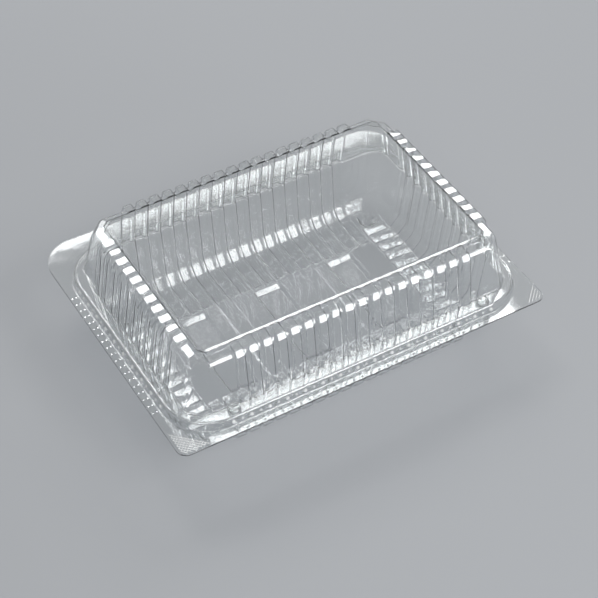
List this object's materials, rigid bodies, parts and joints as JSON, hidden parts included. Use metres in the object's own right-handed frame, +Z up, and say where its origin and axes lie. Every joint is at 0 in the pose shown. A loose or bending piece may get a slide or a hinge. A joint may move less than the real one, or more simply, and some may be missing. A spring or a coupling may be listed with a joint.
{
  "type": "plastic clamshell pack",
  "caption": "Clear thermoformed clamshell food pack: a ribbed tray and a domed ribbed lid that nest at a snap rim and fold open on a living hinge along the back edge.",
  "frame": {"origin": "centre of the closed pack's bounding box, on the plane of the pads that it stands on", "axes": "+X along the hinge, +Y from the finger tabs to the hinge, +Z up"},
  "size_m": [0.2, 0.153, 0.065],
  "materials": {
    "clear_plastic": "clear, glossy, as formed"
  },
  "bodies": {
    "tray": {"tray": "clear_plastic"},
    "lid": {"lid": "clear_plastic"}
  },
  "joints": [
    {"name": "lid_hinge", "type": "hinge", "parent": "tray", "child": "lid", "pos_m": [0, 0.07655, 0.03], "axis": [-1, 0, 0], "range_deg": [0, 170]}
  ]
}
